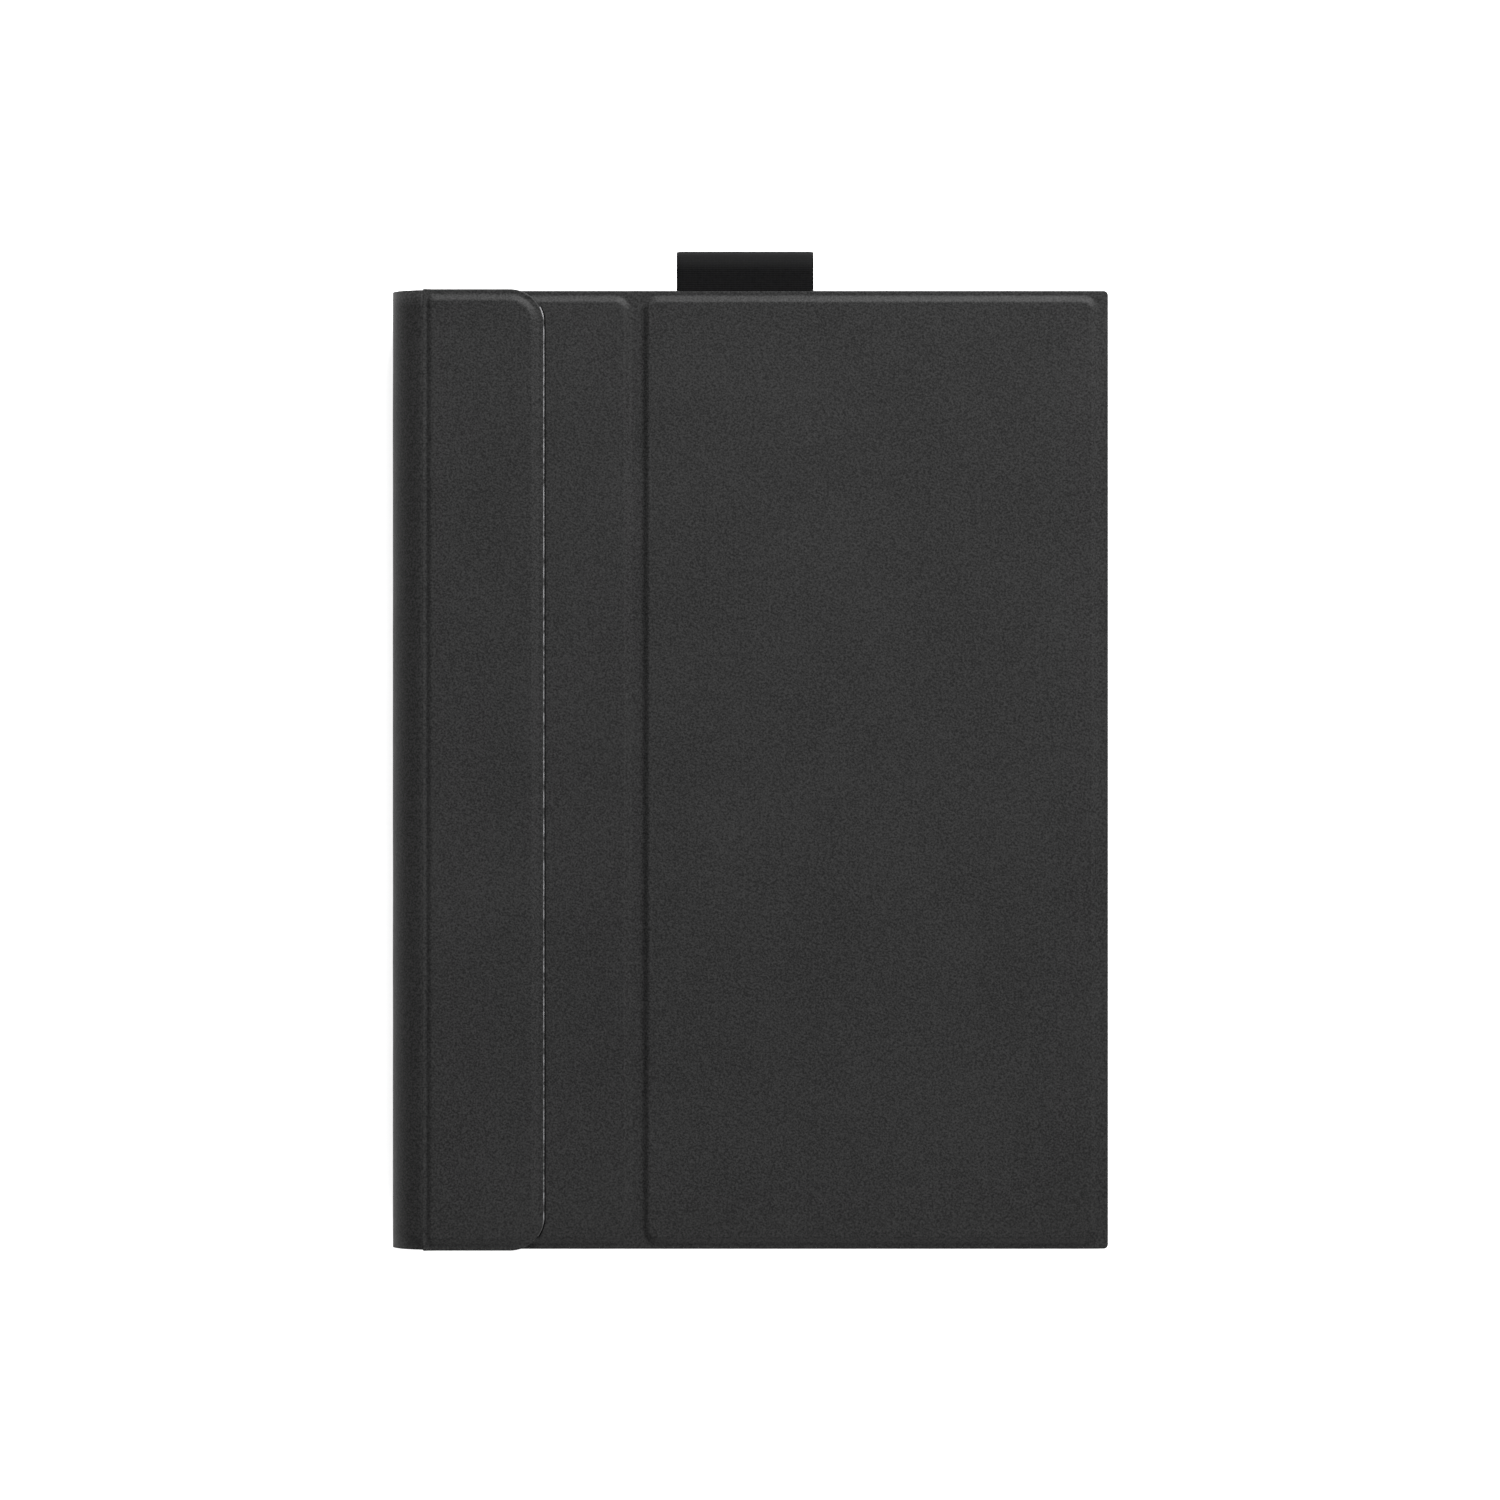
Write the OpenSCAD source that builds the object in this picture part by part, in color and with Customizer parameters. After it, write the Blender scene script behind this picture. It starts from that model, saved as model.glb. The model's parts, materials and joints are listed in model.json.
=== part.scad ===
// Folio keyboard case for an 11-inch tablet, closed and lying on its front cover.
// X runs across the short side (the spine is at -X), Y along the long side, Z up through the closed case.
// The origin is the middle of the face that rests on the table.

/* [Case] */
// Length of the covers along the long side
case_len = 256; // [250:1:262]
// Distance from the origin to the open edge of the covers
half_w = 95.8; // [94:0.2:98]
// Corner radius of the covers
cover_r = 1.2; // [0.5:0.1:4]
// Width of the glued border round each board
border = 3; // [2:0.1:4]

/* [Folds] */
// Position of the two spine folds
spine_x = -86; // [-87:0.5:-85]
// Position of the fold across the back cover
fold_x = -30.2; // [-34:0.1:-26]
// Width of the soft groove at the back fold
groove_w = 6.4; // [4:0.1:7]
// Width of the magnetic flap, from its fold to its free edge
flap_w = 31; // [27:0.5:36]
// Corner radius of the flap's free edge
flap_r = 9; // [5:0.5:11]

/* [Tablet] */
// Tablet length
tablet_len = 247.6; // [244:0.1:248]
// Tablet width
tablet_w = 172.5; // [168:0.1:173]
// Tablet thickness
tablet_t = 6; // [5.6:0.1:6]
// Wall of the holder shell
shell_t = 1.4; // [1:0.1:1.5]

/* [Keyboard] */
// Key pitch along a row
pitch_y = 17.2; // [16.8:0.1:17.3]
// Key pitch from row to row
pitch_x = 17.5; // [17:0.1:17.6]
// Gap between two keys
key_gap = 2.2; // [2:0.1:3]
// Key travel
key_travel = 1.3; // [1:0.1:1.3]

/* [Pen loop] */
// Bore radius of the loop
loop_bore_r = 4.6; // [4:0.1:4.8]
// Length of the loop along the pen
loop_len = 36.6; // [30:0.2:40]
// Thickness of the elastic band
loop_t = 0.9; // [0.7:0.1:1]

/* [Hidden] */
$fn = 48;
skin_t = 0.8;
lining_t = 0.6;
board_t = 1.2;
edge_t = 1.0;
slack = 0.15;
half_len = case_len / 2;
fold_gap = 0.6;

// Heights of the layers, from the table up.
front_top = skin_t + board_t + lining_t;
key_base_z = front_top;
deck_z = key_base_z + 3;
deck_t = 1.2;
key_z0 = deck_z - 0.2;
key_h = 2.8;
shell_z0 = 9.2;
lip_t = 0.7;
cavity_z0 = shell_z0 + lip_t;
shell_z1 = cavity_z0 + tablet_t + shell_t;
back_z0 = shell_z1 + slack;
back_board_z = back_z0 + lining_t;
back_top = back_board_z + board_t + skin_t;
flap_z0 = back_top + slack;
flap_board_z = flap_z0 + 0.4;
flap_board_t = 0.9;
flap_top = flap_board_z + flap_board_t + 0.7;
spine_r = 10.94;
spine_z = flap_top / 2;
spine_cx = -half_w + spine_r;

// Plan positions.
shell_x0 = -84.2;
shell_x1 = shell_x0 + tablet_w + 2 * shell_t;
support_x0 = -84;
support_x1 = fold_x - fold_gap;
leaf_x0 = fold_x + fold_gap;
front_x0 = spine_x + fold_gap;
board_gap = groove_w / 2;
keys_x0 = -34;
keys_x1 = 90;
keys_len = 246;
palm = 10;
space_x = keys_x1 - palm - pitch_x / 2;
row_x = [for (i = [0 : 4]) space_x - i * pitch_x];
function_h = 11;
function_x = row_x[4] - pitch_x / 2 - function_h / 2;
row_y0 = -7 * pitch_y;

// Each key is [start in units, width in units, row number counted from the space bar].
LETTERS = ["qwertyuiop", "asdfghjkl", "zxcvbnm"];
letter_row = [3, 2, 1];
letter_u0 = [1, 1.25, 1.75];
space_key = [4.25, 4.75, 0];
number_row = [for (i = [0 : 13]) [i, 1, 4]];
function_row = [for (i = [0 : 13]) [i, 1, 5]];
punctuation = concat([for (i = [0 : 2]) [11 + i, 1, 3]], [for (i = [0 : 1]) [10.25 + i, 1, 2]],
                     [for (i = [0 : 2]) [8.75 + i, 1, 1]]);
left_modifiers = [[0, 1, 3], [0, 1.25, 2], [0, 1.75, 1], [0, 1, 0], [1, 1, 0], [2, 1, 0], [3, 1.25, 0]];
arrow_u = 2.75 / 3;
right_modifiers = concat([[12.25, 1.75, 2], [11.75, 2.25, 1], [9, 1.25, 0], [10.25, 1, 0]],
                         [for (i = [0 : 2]) [11.25 + i * arrow_u, arrow_u, 0]]);
letter_keys = [for (r = [0 : 2]) for (i = [0 : len(LETTERS[r]) - 1]) [letter_u0[r] + i, 1, letter_row[r]]];
all_keys = concat(letter_keys, [space_key], number_row, function_row, punctuation, left_modifiers,
                  right_modifiers);

// A flat rounded rectangle between two corners.
module rounded(x0, y0, x1, y1, r) {
    translate([x0 + r, y0]) square([x1 - x0 - 2 * r, y1 - y0]);
    translate([x0, y0 + r]) square([x1 - x0, y1 - y0 - 2 * r]);
    for (x = [x0 + r, x1 - r])
        for (y = [y0 + r, y1 - r])
            translate([x, y]) circle(r);
}

// A plate with rounded corners, centred on Y.
module plate(x0, x1, z0, z1, half_y, r) {
    translate([0, 0, z0]) linear_extrude(z1 - z0) rounded(x0, -half_y, x1, half_y, r);
}

// A plate whose corners are rounded on the +X side only.
module flap_plate(x1, z0, z1, half_y, r, x0 = spine_x + fold_gap) {
    translate([0, 0, z0]) linear_extrude(z1 - z0) {
        rounded(x0, -half_y, x1, half_y, r);
        translate([x0, -half_y]) square([(x1 - x0) / 2, 2 * half_y]);
    }
}

// A sheet glued over a board: thin at the border, raised over the board, hollow where the board sits.
module cover_sheet(x0, x1, bx0, bx1, z_border, z_top, z_board, edge_r) {
    difference() {
        union() {
            plate(x0, x1, z_border, z_border + edge_t, half_len, edge_r);
            plate(bx0 - skin_t, bx1 + skin_t, z_border, z_top, half_len - border + skin_t, 3);
        }
        board(bx0, bx1, z_board, board_t);
    }
}

module board(bx0, bx1, z, t) {
    plate(bx0, bx1, z, z + t, half_len - border, 2);
}

// One key cap.
module key_cap(k) {
    y0 = row_y0 + k[0] * pitch_y + key_gap / 2;
    y1 = row_y0 + (k[0] + k[1]) * pitch_y - key_gap / 2;
    is_function = k[2] == 5;
    cx = is_function ? function_x : row_x[k[2]];
    h = (is_function ? function_h : pitch_x) - key_gap;
    translate([0, 0, key_z0]) linear_extrude(key_h) rounded(cx - h / 2, y0, cx + h / 2, y1, 1.5);
}

// The opening in the deck round one key.
module key_window(k) {
    clear = 0.35;
    y0 = row_y0 + k[0] * pitch_y + key_gap / 2 - clear;
    y1 = row_y0 + (k[0] + k[1]) * pitch_y - key_gap / 2 + clear;
    is_function = k[2] == 5;
    cx = is_function ? function_x : row_x[k[2]];
    h = (is_function ? function_h : pitch_x) - key_gap + 2 * clear;
    translate([cx - h / 2, y0, deck_z - 1]) cube([h, y1 - y0, deck_t + 2]);
}

module keys(list) {
    color("#1c1c1e") for (k = list) key_cap(k);
}

// ---- Front cover, the half that holds the keyboard ----

module front_skin() {
    color("#2b2b2c") difference() {
        plate(front_x0, half_w, 0, skin_t + board_t, half_len, cover_r);
        board(front_x0 + board_gap, half_w - border, skin_t, board_t);
    }
}

module front_board() {
    color("#8a8378") board(front_x0 + board_gap, half_w - border, skin_t, board_t);
}

module front_lining() {
    color("#3a3a3c") plate(front_x0 + 0.6, half_w - 0.8, skin_t + board_t, front_top, half_len - 0.8, cover_r);
}

// ---- Keyboard ----

switch_y = 100;
usb_y = 78;
port_x = keys_x0;
base_wall = 1.2;
base_floor = 0.8;
screw_r = 0.9;
screw_points = [for (x = [-30, row_x[3] + pitch_x / 2, 86]) for (y = [-120.8, 120.8]) [x, y]];

module keyboard_base() {
    color("#242426") difference() {
        union() {
            difference() {
                plate(keys_x0, keys_x1, key_base_z, deck_z, keys_len / 2, 4);
                plate(keys_x0 + base_wall, keys_x1 - base_wall, key_base_z + base_floor, deck_z + 1,
                      keys_len / 2 - base_wall, 3);
            }
            for (p = screw_points) translate([p[0], p[1], key_base_z + 0.4])
                cylinder(r = 2, h = deck_z - key_base_z - 0.4);
        }
        for (p = screw_points) translate([p[0], p[1], key_base_z - 1]) cylinder(r = screw_r, h = 6);
        translate([port_x - 1, usb_y - 4.1, key_base_z + base_floor]) cube([3, 8.2, 4]);
        translate([port_x - 1, switch_y - 4.2, key_base_z + base_floor]) cube([3, 8.4, 4]);
    }
}

module keyboard_deck() {
    color("#2a2a2c") difference() {
        plate(keys_x0, keys_x1, deck_z, deck_z + deck_t, keys_len / 2, 4);
        for (k = all_keys) key_window(k);
    }
}

module key_membrane() {
    color("#b9c4b4") plate(function_x - 7, keys_x1 - 6, key_base_z + base_floor, key_base_z + base_floor + 0.2,
                           keys_len / 2 - 4.6, 1);
}

// One collapsed dome under each key, at its pressed height so that the key can travel.
module rubber_domes() {
    z = key_base_z + base_floor + 0.2;
    color("#d8d8d4") for (k = all_keys) {
        y = row_y0 + (k[0] + k[1] / 2) * pitch_y;
        x = k[2] == 5 ? function_x : row_x[k[2]];
        translate([x, y, z]) cylinder(r1 = 2.4, r2 = 1.4, h = key_z0 - key_travel - z - 0.05);
    }
}

module battery() {
    color("#c9c9c9") plate(-31.5, -21.5, key_base_z + base_floor, deck_z - 0.1, 34, 1);
}

module circuit_board() {
    color("#1f5a34") translate([-31.5, 60, key_base_z + base_floor]) cube([10, 54, 0.6]);
}

module usb_port() {
    z = key_base_z + base_floor + 0.6;
    color("#b4b4b8") difference() {
        translate([port_x + 0.1, usb_y - 3.9, z]) cube([5, 7.8, 1.5]);
        translate([port_x - 1, usb_y - 3.4, z + 0.3]) cube([5, 6.8, 0.9]);
    }
}

switch_travel = 3;

// The slide button reaches out of the base wall and sits at its OFF end.
module power_switch() {
    z = key_base_z + base_floor + 0.7;
    color("#3c3c3e") {
        translate([port_x - 0.6, switch_y - 3.8, z]) cube([2.2, 4.4, 1.3]);
    }
}

module keyboard_screws() {
    color("#77787a") for (p = screw_points) translate([p[0], p[1], key_base_z]) {
        cylinder(r = screw_r - 0.05, h = deck_z - key_base_z - 0.05);
    }
}

rest_x0 = -52;
rest_x1 = -42;

// The ledge behind the keyboard that the tablet's lower edge stands in.
module stand_rest() {
    color("#202022") difference() {
        plate(rest_x0, rest_x1, front_top, front_top + 3.4, 115, 1.5);
        translate([rest_x0 + 2.2, -120, front_top + 1.2]) cube([5.2, 240, 4]);
    }
}

// ---- Spine ----

module spine_arc(r0, r1, half_y) {
    translate([0, half_y, 0]) rotate([90, 0, 0]) linear_extrude(2 * half_y)
        intersection() {
            translate([spine_cx, spine_z]) difference() {
                circle(r1, $fn = 96);
                circle(r0, $fn = 96);
            }
            translate([-half_w - 1, -1]) square([half_w + spine_x + 1 - fold_gap, flap_top + 2]);
        }
}

module spine_skin() {
    color("#2b2b2c") spine_arc(spine_r - skin_t, spine_r, half_len);
}

module spine_lining() {
    color("#3a3a3c") spine_arc(spine_r - skin_t - lining_t, spine_r - skin_t, half_len - 0.8);
}

// ---- Flap ----

flap_x1 = spine_x + flap_w;
flap_board_x0 = spine_x + 1;
flap_board_x1 = flap_x1 - border;
flap_half = half_len + 0.3;
magnet_r = 4;
magnet_y = [for (i = [-3 : 3]) i * 36];
magnet_x = (flap_board_x0 + flap_board_x1) / 2;

module flap_board_shape() {
    flap_plate(flap_board_x1, flap_board_z, flap_board_z + flap_board_t, flap_half - border, 6, flap_board_x0);
}

module flap_skin() {
    color("#2b2b2c") difference() {
        union() {
            flap_plate(flap_x1, flap_board_z, flap_board_z + 0.8, flap_half, flap_r);
            flap_plate(flap_board_x1 + 0.7, flap_board_z, flap_top, flap_half - border + 0.7, 6.7,
                       flap_board_x0 - 0.3);
        }
        flap_board_shape();
    }
}

module flap_board() {
    color("#8a8378") difference() {
        flap_board_shape();
        for (y = magnet_y) translate([magnet_x, y, flap_board_z - 1]) cylinder(r = magnet_r + 0.05, h = 3);
    }
}

module flap_lining() {
    color("#3a3a3c") flap_plate(flap_x1 - 0.2, flap_z0, flap_board_z, flap_half - 0.2, flap_r);
}

module flap_magnets() {
    color("#b8b8bc") for (y = magnet_y)
        translate([magnet_x, y, flap_board_z]) cylinder(r = magnet_r, h = flap_board_t);
}

// ---- Back cover: the narrow panel that the holder is glued to ----

support_board_x1 = fold_x - board_gap;

module support_skin() {
    color("#2b2b2c") cover_sheet(support_x0, support_x1, support_x0 + border, support_board_x1,
                                 back_board_z, back_top, back_board_z, cover_r);
}

module support_board() {
    color("#8a8378") difference() {
        board(support_x0 + border, support_board_x1, back_board_z, board_t);
        for (y = magnet_y) translate([magnet_x, y, back_board_z - 1]) cylinder(r = magnet_r + 0.05, h = 4);
    }
}

module support_plates() {
    color("#a0a0a4") for (y = magnet_y) translate([magnet_x, y, back_board_z]) cylinder(r = magnet_r, h = board_t);
}

module support_lining() {
    color("#3a3a3c") plate(support_x0 + 0.5, support_x1, shell_z1, back_board_z, half_len - 0.8, cover_r);
}

// ---- Holder: a shallow tray, open towards the keyboard ----

shell_half = tablet_len / 2 + shell_t;

module holder_shell() {
    lip_in = 1;
    lip_run = 16;
    color("#262628") difference() {
        plate(shell_x0, shell_x1, shell_z0, shell_z1, shell_half, 9);
        plate(shell_x0 + shell_t, shell_x1 - shell_t, cavity_z0, shell_z1 - shell_t, tablet_len / 2, 8);
        // The mouth, which keeps a lip at the four corners only.
        plate(shell_x0 + shell_t + lip_in, shell_x1 - shell_t - lip_in, shell_z0 - 1, cavity_z0 + 1,
              tablet_len / 2 - lip_in, 7);
        plate(shell_x0 + shell_t, shell_x1 - shell_t, shell_z0 - 1, cavity_z0 + 1, tablet_len / 2 - lip_run, 0.5);
        plate(shell_x0 + shell_t + lip_run, shell_x1 - shell_t - lip_run, shell_z0 - 1, cavity_z0 + 1,
              tablet_len / 2, 0.5);
        // Port opening in the short side at -Y, and button opening at +Y, both clear of the corner lips.
        translate([-8, -shell_half - 1, shell_z0 - 1]) cube([16, 3, 6]);
        translate([50, shell_half - 2, shell_z0 - 1]) cube([18, 3, 6]);
    }
}

// ---- Back cover: the large panel that folds out as the stand leg ----

leaf_board_x0 = fold_x + board_gap;
leaf_board_x1 = half_w - border - 1.3;
loop_cx = -1.2;
loop_r = loop_bore_r + loop_t;
loop_reach = 10.9;
loop_y = half_len + loop_reach - loop_r;
loop_z = back_board_z + loop_t - loop_r;
tail_in = 5;

module loop_slot(extra) {
    translate([loop_cx - loop_len / 2 - extra, half_len - tail_in - extra, back_board_z - 0.01])
        cube([loop_len + 2 * extra, tail_in + 1 + extra, loop_t + 0.01 + extra]);
}

module leaf_skin() {
    color("#2b2b2c") difference() {
        union() {
            cover_sheet(leaf_x0, half_w, leaf_board_x0, leaf_board_x1, back_board_z, back_top, back_board_z, cover_r);
            // The sheet swells a little over the loop's glued tail.
            translate([loop_cx - loop_len / 2 - 3, half_len - 4, back_board_z]) cube([loop_len + 6, 4.4, 1.5]);
        }
        board(leaf_board_x0, leaf_board_x1, back_board_z, board_t);
        loop_slot(0.05);
    }
}

module leaf_board() {
    color("#8a8378") difference() {
        board(leaf_board_x0, leaf_board_x1, back_board_z, board_t);
        loop_slot(0.05);
    }
}

module leaf_lining() {
    color("#3a3a3c") plate(leaf_x0, half_w - 0.8, back_z0, back_board_z, half_len - 0.8, cover_r);
}

// An elastic band round the pen: a full ring with one flat tail glued under the back sheet.
module pen_loop() {
    color("#111112") translate([loop_cx - loop_len / 2, 0, 0]) {
        difference() {
            union() {
                translate([0, loop_y, loop_z]) rotate([0, 90, 0]) cylinder(r = loop_r, h = loop_len, $fn = 96);
                translate([0, half_len - tail_in, loop_z + loop_bore_r])
                    cube([loop_len, loop_y - half_len + tail_in, loop_t]);
            }
            translate([-1, loop_y, loop_z]) rotate([0, 90, 0]) cylinder(r = loop_bore_r, h = loop_len + 2, $fn = 96);
        }
    }
}

front_skin();
front_board();
front_lining();
keyboard_base();
keyboard_deck();
key_membrane();
rubber_domes();
battery();
circuit_board();
usb_port();
power_switch();
keyboard_screws();
stand_rest();
spine_skin();
spine_lining();
flap_skin();
flap_board();
flap_lining();
flap_magnets();
support_skin();
support_board();
support_lining();
support_plates();
holder_shell();
leaf_skin();
leaf_board();
leaf_lining();
pen_loop();
keys([space_key]);  // space_bar
keys(number_row);  // number_row_keys
keys(function_row);  // function_row_keys
keys(punctuation);  // punctuation_keys
keys(left_modifiers);  // left_modifier_keys
keys(right_modifiers);  // right_modifier_keys
for (r = [0 : 2])
    for (i = [0 : len(LETTERS[r]) - 1])
        keys([[letter_u0[r] + i, 1, letter_row[r]]]);
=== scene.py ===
"""Looks for the folio keyboard case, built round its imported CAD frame."""
import json
import math

import bmesh
import bpy
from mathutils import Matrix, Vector, noise


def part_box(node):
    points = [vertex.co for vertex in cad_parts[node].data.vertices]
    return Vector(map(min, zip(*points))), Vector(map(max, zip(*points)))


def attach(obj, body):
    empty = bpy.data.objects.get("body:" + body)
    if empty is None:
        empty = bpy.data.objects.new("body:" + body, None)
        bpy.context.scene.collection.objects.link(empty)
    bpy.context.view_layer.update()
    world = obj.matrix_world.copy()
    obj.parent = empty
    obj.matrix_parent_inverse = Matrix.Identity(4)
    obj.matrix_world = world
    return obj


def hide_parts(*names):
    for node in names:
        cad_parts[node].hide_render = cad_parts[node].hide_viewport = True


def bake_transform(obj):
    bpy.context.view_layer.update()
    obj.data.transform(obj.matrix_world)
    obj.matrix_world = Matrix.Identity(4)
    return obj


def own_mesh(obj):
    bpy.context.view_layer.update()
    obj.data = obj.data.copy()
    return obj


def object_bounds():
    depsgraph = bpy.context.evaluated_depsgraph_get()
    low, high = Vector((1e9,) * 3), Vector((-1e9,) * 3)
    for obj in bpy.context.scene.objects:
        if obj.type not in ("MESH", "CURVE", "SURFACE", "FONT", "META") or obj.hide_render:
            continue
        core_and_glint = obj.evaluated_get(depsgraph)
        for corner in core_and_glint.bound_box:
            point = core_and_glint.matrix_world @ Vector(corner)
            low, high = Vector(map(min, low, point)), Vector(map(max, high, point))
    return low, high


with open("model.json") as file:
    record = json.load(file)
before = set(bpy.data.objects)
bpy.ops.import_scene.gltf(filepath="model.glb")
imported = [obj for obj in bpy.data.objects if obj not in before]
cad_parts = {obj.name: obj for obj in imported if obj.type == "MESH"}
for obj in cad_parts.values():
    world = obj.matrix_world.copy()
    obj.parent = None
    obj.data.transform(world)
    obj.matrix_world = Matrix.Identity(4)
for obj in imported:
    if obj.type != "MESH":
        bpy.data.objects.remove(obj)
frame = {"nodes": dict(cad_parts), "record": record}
cad_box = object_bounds()
MM = 0.001


# ---- Materials ----

def blank(name):
    """A material with its shader, and the coordinates that every texture in it uses."""
    mat = bpy.data.materials.new(name)
    mat.use_nodes = True
    nodes, links = mat.node_tree.nodes, mat.node_tree.links
    shader = nodes["Principled BSDF"]
    coords = nodes.new("ShaderNodeTexCoord")
    return mat, nodes, links, shader, coords.outputs["Object"]


def noise_node(nodes, links, where, scale, detail=3.0, stretch=None):
    tex = nodes.new("ShaderNodeTexNoise")
    tex.inputs["Scale"].default_value = scale
    tex.inputs["Detail"].default_value = detail
    # The pattern is turned, so that flat sheets at different heights all cut it alike.
    mapping = nodes.new("ShaderNodeMapping")
    if stretch:
        mapping.inputs["Scale"].default_value = stretch
    else:
        mapping.inputs["Rotation"].default_value = (0.62, 0.47, 0.35)
    links.new(where, mapping.inputs["Vector"])
    links.new(mapping.outputs["Vector"], tex.inputs["Vector"])
    return tex.outputs["Fac"]


def ramp(nodes, links, value, low, high, start=0.3, end=0.7):
    """Colours from low to high as value goes from start to end."""
    out = nodes.new("ShaderNodeValToRGB")
    out.color_ramp.elements[0].position, out.color_ramp.elements[1].position = start, end
    out.color_ramp.elements[0].color = (*low, 1)
    out.color_ramp.elements[1].color = (*high, 1)
    links.new(value, out.inputs["Fac"])
    return out.outputs["Color"]


def spread(nodes, links, value, low, high):
    """A number that goes from low to high with value."""
    out = nodes.new("ShaderNodeMapRange")
    out.inputs["From Min"].default_value, out.inputs["From Max"].default_value = 0.3, 0.7
    out.inputs["To Min"].default_value, out.inputs["To Max"].default_value = low, high
    links.new(value, out.inputs["Value"])
    return out.outputs["Result"]


def bump(nodes, links, shader, height, depth, strength):
    out = nodes.new("ShaderNodeBump")
    out.inputs["Distance"].default_value = depth
    out.inputs["Strength"].default_value = strength
    links.new(height, out.inputs["Height"])
    links.new(out.outputs["Normal"], shader.inputs["Normal"])


def added(nodes, links, first, second, share):
    """first plus share times second."""
    out = nodes.new("ShaderNodeMath")
    out.operation = "MULTIPLY_ADD"
    links.new(second, out.inputs[0])
    out.inputs[1].default_value = share
    links.new(first, out.inputs[2])
    return out.outputs[0]


def grained(name, low, high, rough, scale, depth, specular=0.3, metallic=0.0):
    """A fine-grained surface: moulded plastic, rubber, foil or pressed board."""
    mat, nodes, links, shader, where = blank(name)
    fine = noise_node(nodes, links, where, scale, 4)
    broad = noise_node(nodes, links, where, scale / 40, 2)
    links.new(ramp(nodes, links, added(nodes, links, fine, broad, 0.6), low, high, 0.55, 1.05),
              shader.inputs["Base Color"])
    links.new(spread(nodes, links, broad, *rough), shader.inputs["Roughness"])
    shader.inputs["Specular IOR Level"].default_value = specular
    shader.inputs["Metallic"].default_value = metallic
    bump(nodes, links, shader, fine, depth, 0.5)
    return mat


def synthetic_leather(name, low, high, rough):
    """Coated leather: tiny pebbles with creases between them, and soft patches of sheen."""
    mat, nodes, links, shader, where = blank(name)
    pebbles = nodes.new("ShaderNodeTexVoronoi")
    pebbles.feature = "SMOOTH_F1"
    pebbles.inputs["Scale"].default_value = 1500
    links.new(where, pebbles.inputs["Vector"])
    fine = noise_node(nodes, links, where, 2100, 3)
    broad = noise_node(nodes, links, where, 28, 3)
    links.new(ramp(nodes, links, added(nodes, links, fine, broad, 0.11), low, high, 0.41, 0.71),
              shader.inputs["Base Color"])
    links.new(spread(nodes, links, broad, *rough), shader.inputs["Roughness"])
    shader.inputs["Specular IOR Level"].default_value = 0.12
    height = added(nodes, links, fine, pebbles.outputs["Distance"], -0.7)
    bump(nodes, links, shader, height, 0.00008, 0.6)
    return mat


def woven(name, low, high, pitch, depth, rough=(0.75, 0.9), sheen=0.1, specular=0.2):
    """A weave or rib: bands across one way, broken by finer bands the other way."""
    mat, nodes, links, shader, where = blank(name)
    bands = []
    for direction, width in (("Y", pitch), ("X", pitch * 0.8)):
        wave = nodes.new("ShaderNodeTexWave")
        wave.bands_direction = direction
        wave.inputs["Scale"].default_value = 0.314 / width
        wave.inputs["Distortion"].default_value = 0.6
        wave.inputs["Detail"].default_value = 1
        links.new(where, wave.inputs["Vector"])
        bands.append(wave.outputs["Fac"])
    height = added(nodes, links, bands[0], bands[1], 0.5)
    fuzz = noise_node(nodes, links, where, 1200, 3)
    links.new(ramp(nodes, links, added(nodes, links, fuzz, height, 0.35), low, high, 0.4, 1.1),
              shader.inputs["Base Color"])
    links.new(spread(nodes, links, fuzz, *rough), shader.inputs["Roughness"])
    shader.inputs["Specular IOR Level"].default_value = specular
    shader.inputs["Sheen Weight"].default_value = sheen
    shader.inputs["Sheen Roughness"].default_value = 0.5
    bump(nodes, links, shader, height, depth, 0.5)
    return mat


def cut_edge(name):
    """The raw edge of the flap: a light core, partly its own colour and partly a painted glint, broken
    into dashes that stand for where the wavy edge catches the light.
    """
    mat, nodes, links, shader, where = blank(name)
    dashes = noise_node(nodes, links, where, 330, 2, (0.5, 1, 1))
    thread = noise_node(nodes, links, where, 1600, 2)
    split = nodes.new("ShaderNodeSeparateXYZ")
    links.new(where, split.inputs["Vector"])
    # Painted highlight: the core is made lighter towards +Y, the side the light comes from.
    core_and_glint = added(nodes, links, added(nodes, links, dashes, thread, 0.3), split.outputs["Y"], 0.25)
    links.new(ramp(nodes, links, core_and_glint, (0.020, 0.020, 0.020), (0.150, 0.150, 0.154), 0.56, 0.74),
              shader.inputs["Base Color"])
    links.new(spread(nodes, links, thread, 0.7, 0.9), shader.inputs["Roughness"])
    bump(nodes, links, shader, thread, 0.00005, 0.5)
    return mat


skin = synthetic_leather("cover_skin", (0.0055, 0.0055, 0.0056), (0.0215, 0.0215, 0.0216),
                         (0.565, 0.615))
lining = woven("lining", (0.020, 0.020, 0.021), (0.038, 0.038, 0.040), 0.0006, 0.00004)
elastic = woven("elastic", (0.0010, 0.0010, 0.0011), (0.0036, 0.0036, 0.0038), 0.0005, 0.00005,
                rough=(0.6, 0.75), sheen=0.0, specular=0.04)
raw_edge = cut_edge("raw_edge")

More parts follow.
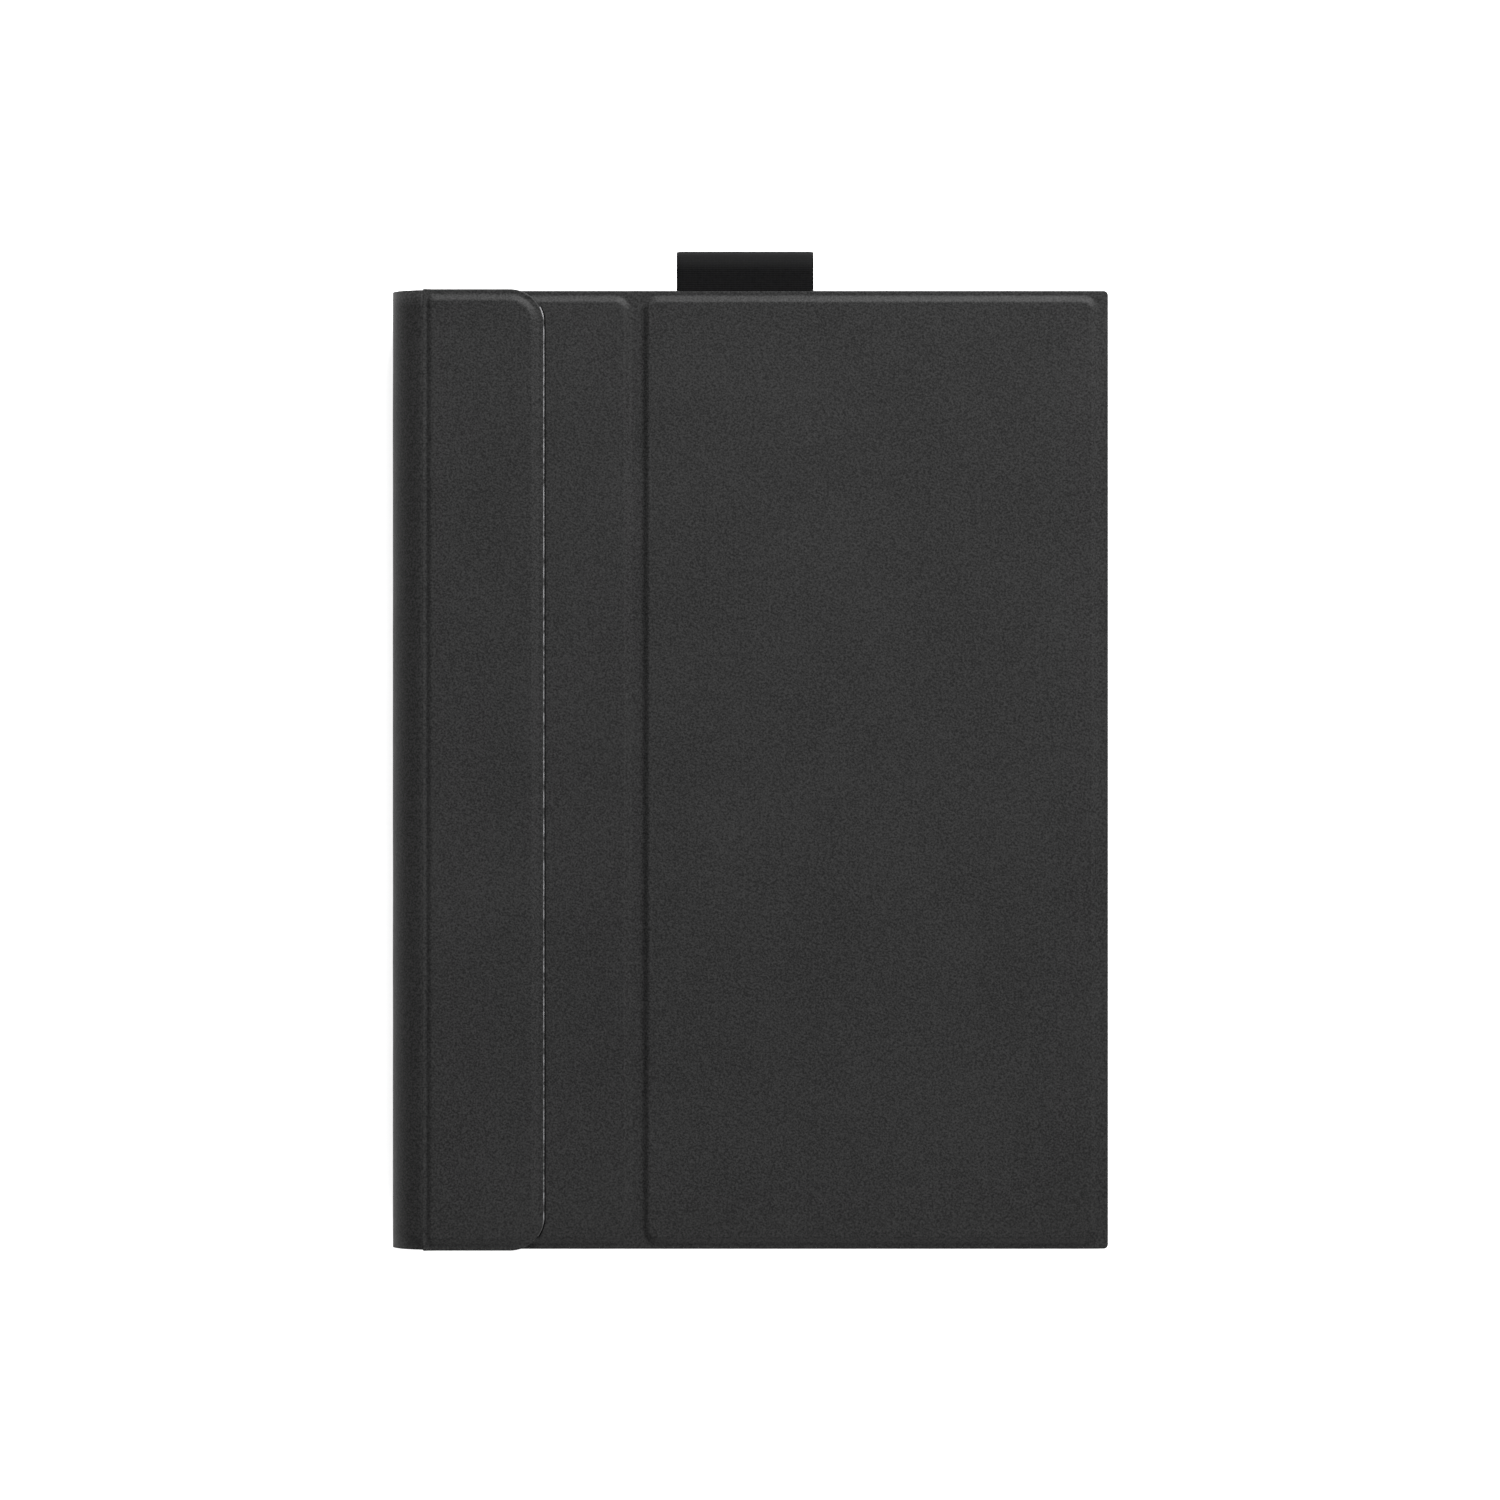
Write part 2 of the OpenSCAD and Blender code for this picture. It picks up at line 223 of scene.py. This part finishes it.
# Dark colour, light colour, roughness, grain per metre, grain depth, then specular level and metal.
GRAINED = {
    # The first entry is no real ply: near-black painted shadow, for the strip beyond the flap's edge.
    "shadow_strip_dark": ((0.0008, 0.0008, 0.0008), (0.0022, 0.0022, 0.0022), (0.85, 0.95), 1800, 0.00003, 0.03),
    "keyboard_case": ((0.016, 0.016, 0.017), (0.028, 0.028, 0.030), (0.42, 0.5), 1800, 0.00003),
    "keycap": ((0.008, 0.008, 0.009), (0.015, 0.015, 0.016), (0.38, 0.5), 2200, 0.00003),
    "holder": ((0.014, 0.014, 0.015), (0.020, 0.020, 0.021), (0.50, 0.54), 1500, 0.00005),
    "rest": ((0.010, 0.010, 0.010), (0.018, 0.018, 0.018), (0.7, 0.85), 1400, 0.00005, 0.2),
    "legend": ((0.42, 0.42, 0.42), (0.58, 0.58, 0.58), (0.5, 0.6), 2000, 0.00001),
    "board": ((0.20, 0.18, 0.15), (0.32, 0.29, 0.24), (0.8, 0.95), 900, 0.0001),
    "membrane": ((0.40, 0.44, 0.38), (0.52, 0.56, 0.48), (0.25, 0.35), 600, 0.00001),
    "dome": ((0.55, 0.55, 0.52), (0.70, 0.70, 0.67), (0.4, 0.5), 1500, 0.00002),
    "battery": ((0.45, 0.45, 0.46), (0.60, 0.60, 0.61), (0.3, 0.45), 400, 0.00005, 0.5, 0.8),
    "circuit_board": ((0.01, 0.07, 0.03), (0.02, 0.13, 0.05), (0.3, 0.4), 900, 0.00002),
    "metal": ((0.42, 0.42, 0.43), (0.56, 0.56, 0.57), (0.25, 0.4), 1200, 0.00001, 0.5, 1.0),
}
finishes = {name: grained(name, *values) for name, values in GRAINED.items()}
finishes.update(cover_skin=skin, lining=lining, elastic=elastic)
shadow_strip_dark, legend_ink = finishes["shadow_strip_dark"], finishes["legend"]


# ---- Shapes ----

def box_mm(node):
    low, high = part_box(node)
    return [v / MM for v in low], [v / MM for v in high]


def smooth(t):
    t = min(1.0, max(0.0, t))
    return t * t * (3 - 2 * t)


class Panel:
    """A rectangle in plan with its own corner radius on each side in X, in millimetres."""

    def __init__(self, x0, x1, y0, y1, left_r, right_r):
        self.x0, self.x1, self.y0, self.y1 = x0, x1, y0, y1
        self.left_r, self.right_r = left_r, right_r

    def outside(self, x, y):
        """How far a point is outside the edge; negative inside."""
        cx, cy = (self.x0 + self.x1) / 2, (self.y0 + self.y1) / 2
        r = self.left_r if x < cx else self.right_r
        qx = abs(x - cx) - (self.x1 - self.x0) / 2 + r
        qy = abs(y - cy) - (self.y1 - self.y0) / 2 + r
        return math.hypot(max(qx, 0), max(qy, 0)) + min(max(qx, qy), 0) - r

    def rounded(self, x, y):
        """Where a point of a square grid goes once the corners are round."""
        r = self.left_r if x < (self.x0 + self.x1) / 2 else self.right_r
        if r <= 0:
            return x, y
        cx = min(max(x, self.x0 + r), self.x1 - r)
        cy = min(max(y, self.y0 + r), self.y1 - r)
        a, b = (x - cx) / r, (y - cy) / r
        return cx + r * a * math.sqrt(1 - b * b / 2), cy + r * b * math.sqrt(1 - a * a / 2)


# In millimetres: grid steps near an edge and far from one, a sheet's turned rim, its slope onto a board.
FINE = (0, 0.12, 0.25, 0.4, 0.6, 0.85, 1.15, 1.5, 2.0, 2.6)
COARSE = 8
EDGE_RADIUS = 0.35
SLOPE_OUT, SLOPE_WIDTH = 1.9, 2.2


def grid_lines(low, high, near):
    """Line positions from low to high, close together next to each value in near."""
    steps = max(1, round((high - low) / COARSE))
    wanted = [low + (high - low) * i / steps for i in range(steps + 1)]
    for value in near:
        wanted += [value + s * f for f in FINE for s in (-1, 1)]
    wanted = sorted(v for v in wanted if low <= v <= high)
    lines = [low]
    for v in wanted:
        if v - lines[-1] >= 0.1 and high - v >= 0.1:
            lines.append(v)
    return lines + [high]


def finish_mesh(name, bm, materials):
    bmesh.ops.recalc_face_normals(bm, faces=bm.faces)
    mesh = bpy.data.meshes.new(name)
    bm.to_mesh(mesh)
    bm.free()
    mesh.shade_smooth()
    obj = bpy.data.objects.new(name, mesh)
    bpy.context.scene.collection.objects.link(obj)
    for mat in materials:
        mesh.materials.append(mat)
    return obj


def sheet_over_boards(name, panel, boards, z_edge, z_top, z_inner, tongue=None):
    """A sheet glued over boards: it slopes up onto each one, and its outer edge is turned.

    tongue is (x, z): left of that x the sheet goes on at that height, thin, into the next fold.
    """
    across, along = [v for b in boards for v in (b.x0, b.x1)], [v for b in boards for v in (b.y0, b.y1)]
    xs = grid_lines(panel.x0, panel.x1, [panel.x0, panel.x1] + across)
    ys = grid_lines(panel.y0, panel.y1, [panel.y0, panel.y1] + along)
    for r, x in ((panel.left_r, panel.x0), (panel.right_r, panel.x1)):
        if r > 2:
            side = 1 if x == panel.x0 else -1
            xs += [x + side * r * i / 14 for i in range(15)]
            ys += [y for i in range(15) for y in (panel.y0 + r * i / 14, panel.y1 - r * i / 14)]
    xs, ys = sorted(set(round(v, 4) for v in xs)), sorted(set(round(v, 4) for v in ys))
    up = 1 if z_top > z_inner else -1
    bm = bmesh.new()
    outer, inner = [], []
    for gx in xs:
        column, under = [], []
        for gy in ys:
            x, y = panel.rounded(gx, gy)
            raised = max(smooth((SLOPE_OUT - b.outside(x, y)) / SLOPE_WIDTH) for b in boards)
            wave = 0.035 * noise.noise(Vector((x * 0.035, y * 0.03, 3.1))) * raised
            z = z_edge + (z_top - z_edge) * raised + up * (wave - 0.03 * raised)
            if tongue and x < tongue[0]:
                z = tongue[1] + (z - tongue[1]) * smooth((x - panel.x0) / (tongue[0] - panel.x0))
            turn = max(0.0, 1 + panel.outside(x, y) / EDGE_RADIUS)
            if not (tongue and x < tongue[0] + 0.5):
                z -= up * 0.3 * (1 - math.sqrt(max(0.0, 1 - turn * turn)))
            column.append(bm.verts.new((x * MM, y * MM, z * MM)))
            under.append(bm.verts.new((x * MM, y * MM, z_inner * MM)))
        outer.append(column)
        inner.append(under)
    last_x, last_y = len(xs) - 1, len(ys) - 1
    for i in range(last_x):
        for j in range(last_y):
            for rows in (outer, inner):
                bm.faces.new((rows[i][j], rows[i + 1][j], rows[i + 1][j + 1], rows[i][j + 1]))
    rim = ([(i, 0) for i in range(last_x)] + [(last_x, j) for j in range(last_y)]
           + [(i, last_y) for i in range(last_x, 0, -1)] + [(0, j) for j in range(last_y, 0, -1)])
    for (i, j), (k, m) in zip(rim, rim[1:] + rim[:1]):
        bm.faces.new((outer[i][j], outer[k][m], inner[k][m], inner[i][j]))
    return finish_mesh(name, bm, [skin])


def swept(name, section, points, directions, materials):
    """A closed section (u, v) carried along points; directions has the unit vectors of u and v."""
    bm = bmesh.new()
    rings = [[bm.verts.new(Vector(p) + Vector(du) * u + Vector(dv) * v) for u, v in section]
             for p, (du, dv) in zip(points, directions)]
    n = len(section)
    for a, b in zip(rings, rings[1:]):
        for k in range(n):
            bm.faces.new((a[k], a[(k + 1) % n], b[(k + 1) % n], b[k]))
    bm.faces.new(rings[0])
    bm.faces.new(rings[-1][::-1])
    return finish_mesh(name, bm, materials)


# ---- Covers ----

(front_x0, _, _), (case_x1, half_len, front_skin_top) = box_mm("front_skin")
(fboard_x0, board_y0, _), (fboard_x1, board_y1, _) = box_mm("front_board")
(sboard_x0, _, back_z), (sboard_x1, _, _) = box_mm("support_board")
(lboard_x0, _, _), (lboard_x1, _, _) = box_mm("leaf_board")
(support_x0, _, _), (_, _, back_top) = box_mm("support_skin")
(flap_x0, flap_y0, flap_z), (flap_x1, flap_y1, flap_top) = box_mm("flap_skin")
(flboard_x0, flboard_y0, _), (flboard_x1, flboard_y1, _) = box_mm("flap_board")
(spine_x0, _, spine_z0), (spine_x1, _, spine_z1) = box_mm("spine_skin")
tongue_x = spine_x1 - 0.6
FLAP_R = 9.0

back_cover = sheet_over_boards(
    "back_cover_sheet", Panel(support_x0, case_x1, -half_len, half_len, 1.2, 1.2),
    [Panel(sboard_x0, sboard_x1, board_y0, board_y1, 2.5, 2.7),
     Panel(lboard_x0, lboard_x1, board_y0, board_y1, 2.5, 2.5)],
    back_z + 0.95, back_top, back_z + 0.02)
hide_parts("support_skin", "leaf_skin")
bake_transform(back_cover)

front_cover = sheet_over_boards(
    "front_cover_sheet", Panel(tongue_x, case_x1, -half_len, half_len, 0.4, 1.2),
    [Panel(fboard_x0, fboard_x1, board_y0, board_y1, 2.5, 2.5)],
    0.95, 0.02, front_skin_top, tongue=(front_x0, 0.45))
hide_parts("front_skin")
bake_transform(front_cover)

flap_cover = sheet_over_boards(
    "flap_sheet", Panel(tongue_x, flap_x1, flap_y0, flap_y1, 0.4, FLAP_R),
    [Panel(flboard_x0, flboard_x1, flboard_y0, flboard_y1, 0.5, 6)],
    flap_z + 0.75, flap_top, flap_z + 0.02, tongue=(flap_x0, flap_z + 1.15))
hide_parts("flap_skin")
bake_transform(flap_cover)


def flap_edge():
    """The raw edge round the free side of the flap, and a near-black strip that stands out below it:
    painted shadow of the flap's edge on the sheet beneath.
    """
    outward, steps = 0.02, 90
    top, bottom = flap_y1 - FLAP_R, flap_y0 + FLAP_R

    def corner(cy, angles):
        return [(flap_x1 - FLAP_R + FLAP_R * math.cos(t), cy + FLAP_R * math.sin(t),
                 math.cos(t), math.sin(t)) for t in angles]

    path = corner(top, [math.radians(28) * (1 - i / 16) for i in range(17)])
    path += [(flap_x1, top + (bottom - top) * i / steps, 1, 0) for i in range(1, steps)]
    path += corner(bottom, [-math.radians(35) * i / 16 for i in range(17)])
    points, directions = [], []
    for x, y, nx, ny in path:
        wobble = 0.05 * noise.noise(Vector((y * 0.6, x * 0.6, 1.7)))
        out = outward + wobble
        points.append(((x + nx * out) * MM, (y + ny * out) * MM, flap_z * MM))
        directions.append(((nx, ny, 0), (0, 0, 1)))
    core = ((-0.30, 0.0), (0.16, 0.02), (0.20, 0.2), (0.10, 0.42), (-0.12, 0.56), (-0.30, 0.60))
    # A near-black strip reaching out past the edge: painted shadow of the flap on the sheet beneath.
    shadow_outline = ((-0.10, 0.0), (0.50, 0.0), (0.54, 0.05), (0.48, 0.10), (-0.10, 0.12))
    made = []
    for name, outline, material in (("flap_raw_edge", core, raw_edge),
                                    ("flap_shadow_strip", shadow_outline, shadow_strip_dark)):
        section = [(u * MM, v * MM) for u, v in outline]
        made.append(swept(name, section, points, directions, [material]))
    return made


for edge_piece in flap_edge():
    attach(edge_piece, "flap")


def spine():
    """The curved strip between the two folds, with its outer skin and its lining."""
    chord, bulge = (spine_z1 - spine_z0) / 2, spine_x1 - spine_x0
    radius = (chord ** 2 + bulge ** 2) / (2 * bulge)
    cx, cz = spine_x0 + radius, (spine_z0 + spine_z1) / 2
    start = math.acos(max(-1.0, min(1.0, (spine_x1 - cx) / radius)))
    count, rows = 44, 60
    bm = bmesh.new()
    shells = []
    for depth in (0.0, 1.4):
        shell = []
        for j in range(rows + 1):
            y = -half_len + 2 * half_len * j / rows
            line = []
            for i in range(count + 1):
                t = start + (2 * math.pi - 2 * start) * i / count
                tucked = 0.3 if i in (0, count) else 0.03
                ease = 0.05 * noise.noise(Vector((y * 0.05, math.sin(t), 5.0))) - tucked
                rr = radius - depth + (ease if depth == 0 else 0)
                x, z = cx + rr * math.cos(t), cz + rr * math.sin(t)
                line.append(bm.verts.new((x * MM, y * MM, z * MM)))
            shell.append(line)
        shells.append(shell)
    outer, inner = shells
    for j in range(rows):
        for i in range(count):
            bm.faces.new((outer[j][i], outer[j][i + 1], outer[j + 1][i + 1], outer[j + 1][i]))
            face = bm.faces.new((inner[j][i], inner[j + 1][i], inner[j + 1][i + 1], inner[j][i + 1]))
            face.material_index = 1
        for i in (0, count):
            bm.faces.new((outer[j][i], outer[j + 1][i], inner[j + 1][i], inner[j][i]))
    for j in (0, rows):
        for i in range(count):
            bm.faces.new((outer[j][i], inner[j][i], inner[j][i + 1], outer[j][i + 1]))
    obj = finish_mesh("spine_strip", bm, [skin, lining])
    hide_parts("spine_skin", "spine_lining")
    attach(obj, "spine")
    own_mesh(obj)


spine()


# ---- Pen loop ----

def pen_loop():
    """A ribbed elastic band: a flat tail under the back sheet, then once round the pen."""
    (x0, y0, z0), (x1, y1, z1) = box_mm("pen_loop")
    thick = 0.9
    mid_r = (z1 - z0) / 2 - thick / 2
    cy, cz = y1 - (z1 - z0) / 2, (z0 + z1) / 2
    line = [(y0 + 0.3 + (cy - y0 - 0.3) * i / 14, cz + mid_r, 0, 1) for i in range(14)]
    for i in range(71):
        t = math.pi / 2 - 2 * math.pi * 0.985 * i / 70
        line.append((cy + mid_r * math.cos(t), cz + mid_r * math.sin(t), math.cos(t), math.sin(t)))
    across = 60
    section = []
    for k in range(across + 1):
        u = x0 + (x1 - x0) * k / across
        end = min(k, across - k)
        half = thick / 2 * (0.62 if end == 0 else 0.92 if end == 1 else 1.0)
        section.append((u, half + (0.012 if k % 2 else 0.0) * (end > 1)))
    section += [(u, -h) for u, h in reversed(section)]
    points = [(0, y * MM, z * MM) for y, z, _, _ in line]
    directions = [((1, 0, 0), (0, ny, nz)) for _, _, ny, nz in line]
    section = [(u * MM, v * MM) for u, v in section]
    obj = swept("pen_loop_band", section, points, directions, [elastic])
    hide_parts("pen_loop")
    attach(obj, "stand_leaf")


pen_loop()


# ---- Keyboard ----

def repaint(node_name, slot_name, bevel=0.0):
    obj = frame["nodes"][node_name]
    for s in obj.material_slots:
        s.material = finishes[slot_name]
    if not obj.material_slots:
        obj.data.materials.append(finishes[slot_name])
    if bevel:
        edges = obj.modifiers.new("soft_edges", "BEVEL")
        edges.width = bevel * MM
        edges.segments = 3
        edges.limit_method = "ANGLE"
        edges.angle_limit = math.radians(40)
        edges.harden_normals = True


BEVELS = {"keycap": 0.35, "keyboard_case": 0.25, "holder": 0.3, "rest": 0.35}
slot_of = {s["node"]: s["material_slot"] for s in frame["record"]["subparts"]}
for node_name, slot_name in slot_of.items():
    repaint(node_name, slot_name, BEVELS.get(slot_name, 0.0))


def legend(text, x, y, z, size, body, name):
    """Plain lettering printed on a key; its top points towards the spine."""
    curve = bpy.data.curves.new(name, "FONT")
    curve.body, curve.size = text, size * MM
    curve.align_x, curve.align_y = "CENTER", "CENTER"
    curve.resolution_u = 4
    maker = bpy.data.objects.new(name + "_text", curve)
    bpy.context.scene.collection.objects.link(maker)
    bpy.context.view_layer.update()
    shaped = maker.evaluated_get(bpy.context.evaluated_depsgraph_get())
    mesh = bpy.data.meshes.new_from_object(shaped)
    bpy.data.objects.remove(maker)
    obj = bpy.data.objects.new(name, mesh)
    bpy.context.scene.collection.objects.link(obj)
    obj.rotation_euler = (0, 0, math.pi / 2)
    obj.location = (x * MM, y * MM, z * MM)
    mesh.materials.clear()
    mesh.materials.append(legend_ink)
    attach(obj, body)


INK_LIFT = 0.012
letters = [n[-1] for n in slot_of if n.startswith("key_") and len(n) == 5]
for letter in letters:
    (x0, y0, _), (x1, y1, top) = box_mm("key_" + letter)
    legend(letter.upper(), (x0 + x1) / 2, (y0 + y1) / 2, top + INK_LIFT, 5, letter + "_cap",
           "legend_" + letter)


# Keys that move as a group: [legend, start in key widths, width, row counted from the space bar].
GROUPED = {
    "number_row_keys": [(mark, i, 1, 4) for i, mark in enumerate("`1234567890-=")] + [("del", 13, 1, 4)],
    "function_row_keys": ([("esc", 0, 1, 5)] + [(f"F{i}", i, 1, 5) for i in range(1, 13)]
                          + [("lock", 13, 1, 5)]),
    "punctuation_keys": [("[", 11, 1, 3), ("]", 12, 1, 3), ("\\", 13, 1, 3), (";", 10.25, 1, 2),
                         ("'", 11.25, 1, 2), (",", 8.75, 1, 1), (".", 9.75, 1, 1), ("/", 10.75, 1, 1)],
    "left_modifier_keys": [("tab", 0, 1, 3), ("caps", 0, 1.25, 2), ("shift", 0, 1.75, 1),
                           ("fn", 0, 1, 0), ("ctrl", 1, 1, 0), ("alt", 2, 1, 0), ("home", 3, 1.25, 0)],
    "right_modifier_keys": [("enter", 12.25, 1.75, 2), ("shift", 11.75, 2.25, 1), ("alt", 9, 1.25, 0),
                            ("ctrl", 10.25, 1, 0), ("<", 11.25, 0.917, 0), ("^", 12.167, 0.917, 0),
                            (">", 13.083, 0.917, 0)]}
(_, first_y, _), (_, last_y, key_top) = box_mm("number_row_keys")
KEY_GAP = 2.2
unit = (last_y - first_y + KEY_GAP) / 14


def middle_x(node):
    low, high = box_mm(node)
    return (low[0] + high[0]) / 2


row_x = [middle_x("space_bar"), middle_x("key_z"), middle_x("key_a"), middle_x("key_q"),
         middle_x("number_row_keys"), middle_x("function_row_keys")]
for group, marks in GROUPED.items():
    for i, (mark, start, width, row) in enumerate(marks):
        size = 4.5 if len(mark) == 1 else 2.9
        y = first_y - KEY_GAP / 2 + unit * (start + width / 2)
        legend(mark, row_x[row], y, key_top + INK_LIFT, size, group + "_cap",
               f"legend_{group[:5]}_{i}")


# ---- Room, light and camera ----

def floor():
    bm = bmesh.new()
    bmesh.ops.create_grid(bm, x_segments=4, y_segments=4, size=6)
    mesh = bpy.data.meshes.new("floor")
    bm.to_mesh(mesh)
    bm.free()
    obj = bpy.data.objects.new("floor", mesh)
    bpy.context.scene.collection.objects.link(obj)
    mat, nodes, links, shader, where = blank("floor_paper")
    paper = noise_node(nodes, links, where, 40, 2)
    links.new(ramp(nodes, links, paper, (0.86, 0.86, 0.86), (0.90, 0.90, 0.90)),
              shader.inputs["Base Color"])
    shader.inputs["Roughness"].default_value = 0.9
    shader.inputs["Emission Color"].default_value = (1, 1, 1, 1)
    shader.inputs["Emission Strength"].default_value = 0.65
    mesh.materials.append(mat)
    obj.location.z = -0.0002


def softbox(name, place, aim, size, power):
    light = bpy.data.lights.new(name, "AREA")
    light.shape = "RECTANGLE"
    light.size, light.size_y = size
    light.energy = power
    obj = bpy.data.objects.new(name, light)
    obj.location = place
    obj.rotation_euler = (Vector(aim) - Vector(place)).to_track_quat("-Z", "Y").to_euler()
    bpy.context.scene.collection.objects.link(obj)


floor()
softbox("top_softbox", (0.50, 1.25, 0.72), (0, 0, 0), (1.0, 0.6), 67)
softbox("overhead", (0.3, 0.2, 2.2), (0, 0, 0), (1.6, 1.6), 6)
softbox("front_fill", (0.20, -1.30, 0.62), (0, 0, 0), (1.0, 0.5), 11)
world = bpy.data.worlds.new("studio")
world.use_nodes = True
world.node_tree.nodes["Background"].inputs["Color"].default_value = (1, 1, 1, 1)
world.node_tree.nodes["Background"].inputs["Strength"].default_value = 0.36
bpy.context.scene.world = world
bpy.context.scene.view_settings.view_transform = "Standard"

(low_x, low_y, _), (high_x, high_y, _) = cad_box
WIDTH_SEEN = 0.4005
DISTANCE = 1.65
camera = bpy.data.cameras.new("camera")
camera.sensor_width = 36
camera.lens = 36 * DISTANCE / WIDTH_SEEN
camera_object = bpy.data.objects.new("camera", camera)
camera_object.location = ((low_x + high_x) / 2 + 0.0001, (low_y + high_y) / 2,
                          back_top * MM + DISTANCE)
bpy.context.scene.collection.objects.link(camera_object)
bpy.context.scene.camera = camera_object
